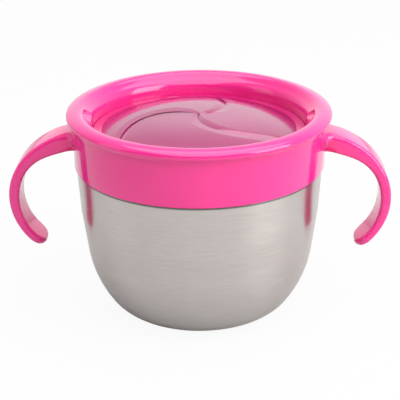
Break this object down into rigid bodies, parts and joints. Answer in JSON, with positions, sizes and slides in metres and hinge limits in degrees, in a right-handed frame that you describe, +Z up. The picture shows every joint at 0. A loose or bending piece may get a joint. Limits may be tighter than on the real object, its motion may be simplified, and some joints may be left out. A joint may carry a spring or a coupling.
{
  "type": "toddler snack container",
  "caption": "Round steel snack bowl under a screw-on collar with open side handles and a soft domed lid insert cut into swirled leaves that a hand pushes through.",
  "frame": {"origin": "middle of the base, on the surface it stands on", "axes": "+X through the right handle, +Z up, -Y towards the front leaf"},
  "size_m": [0.1466, 0.1, 0.0808],
  "materials": {
    "steel": "fine horizontal brushing",
    "seal": "soft white silicone",
    "collar_plastic": "smooth moulded pink, soft gloss",
    "soft_insert": "translucent pink, satin"
  },
  "bodies": {
    "bowl": {"bowl": "steel"},
    "seal": {"seal_ring": "seal"},
    "lid": {"collar": "collar_plastic", "flap_ring": "soft_insert"},
    "flap_left": {"flap_left": "soft_insert"},
    "flap_front": {"flap_front": "soft_insert"},
    "flap_right": {"flap_right": "soft_insert"}
  },
  "joints": [
    {"name": "lid_lift", "type": "slide", "parent": "bowl", "child": "seal", "axis": [0, 0, 1], "range_m": [0, 0.055]},
    {"name": "lid_twist", "type": "hinge", "parent": "seal", "child": "lid", "pos_m": [0, 0, 0.07], "axis": [0, 0, 1], "range_deg": [0, 180]},
    {"name": "flap_left_bend", "type": "hinge", "parent": "lid", "child": "flap_left", "pos_m": [-0.016, 0.00746, 0.0714], "axis": [0.4226, 0.9063, 0], "range_deg": [0, 70], "stiffness_Nm_per_rad": 0.005},
    {"name": "flap_front_bend", "type": "hinge", "parent": "lid", "child": "flap_front", "pos_m": [0.00154, -0.01758, 0.0714], "axis": [-0.9962, -0.0872, 0], "range_deg": [0, 70], "stiffness_Nm_per_rad": 0.005},
    {"name": "flap_right_bend", "type": "hinge", "parent": "lid", "child": "flap_right", "pos_m": [0.01446, 0.01012, 0.0714], "axis": [0.5736, -0.8192, 0], "range_deg": [0, 70], "stiffness_Nm_per_rad": 0.005}
  ],
  "couplings": [
    {"joint": "flap_front_bend", "follows": "flap_left_bend", "ratio": 1},
    {"joint": "flap_right_bend", "follows": "flap_left_bend", "ratio": 1}
  ]
}
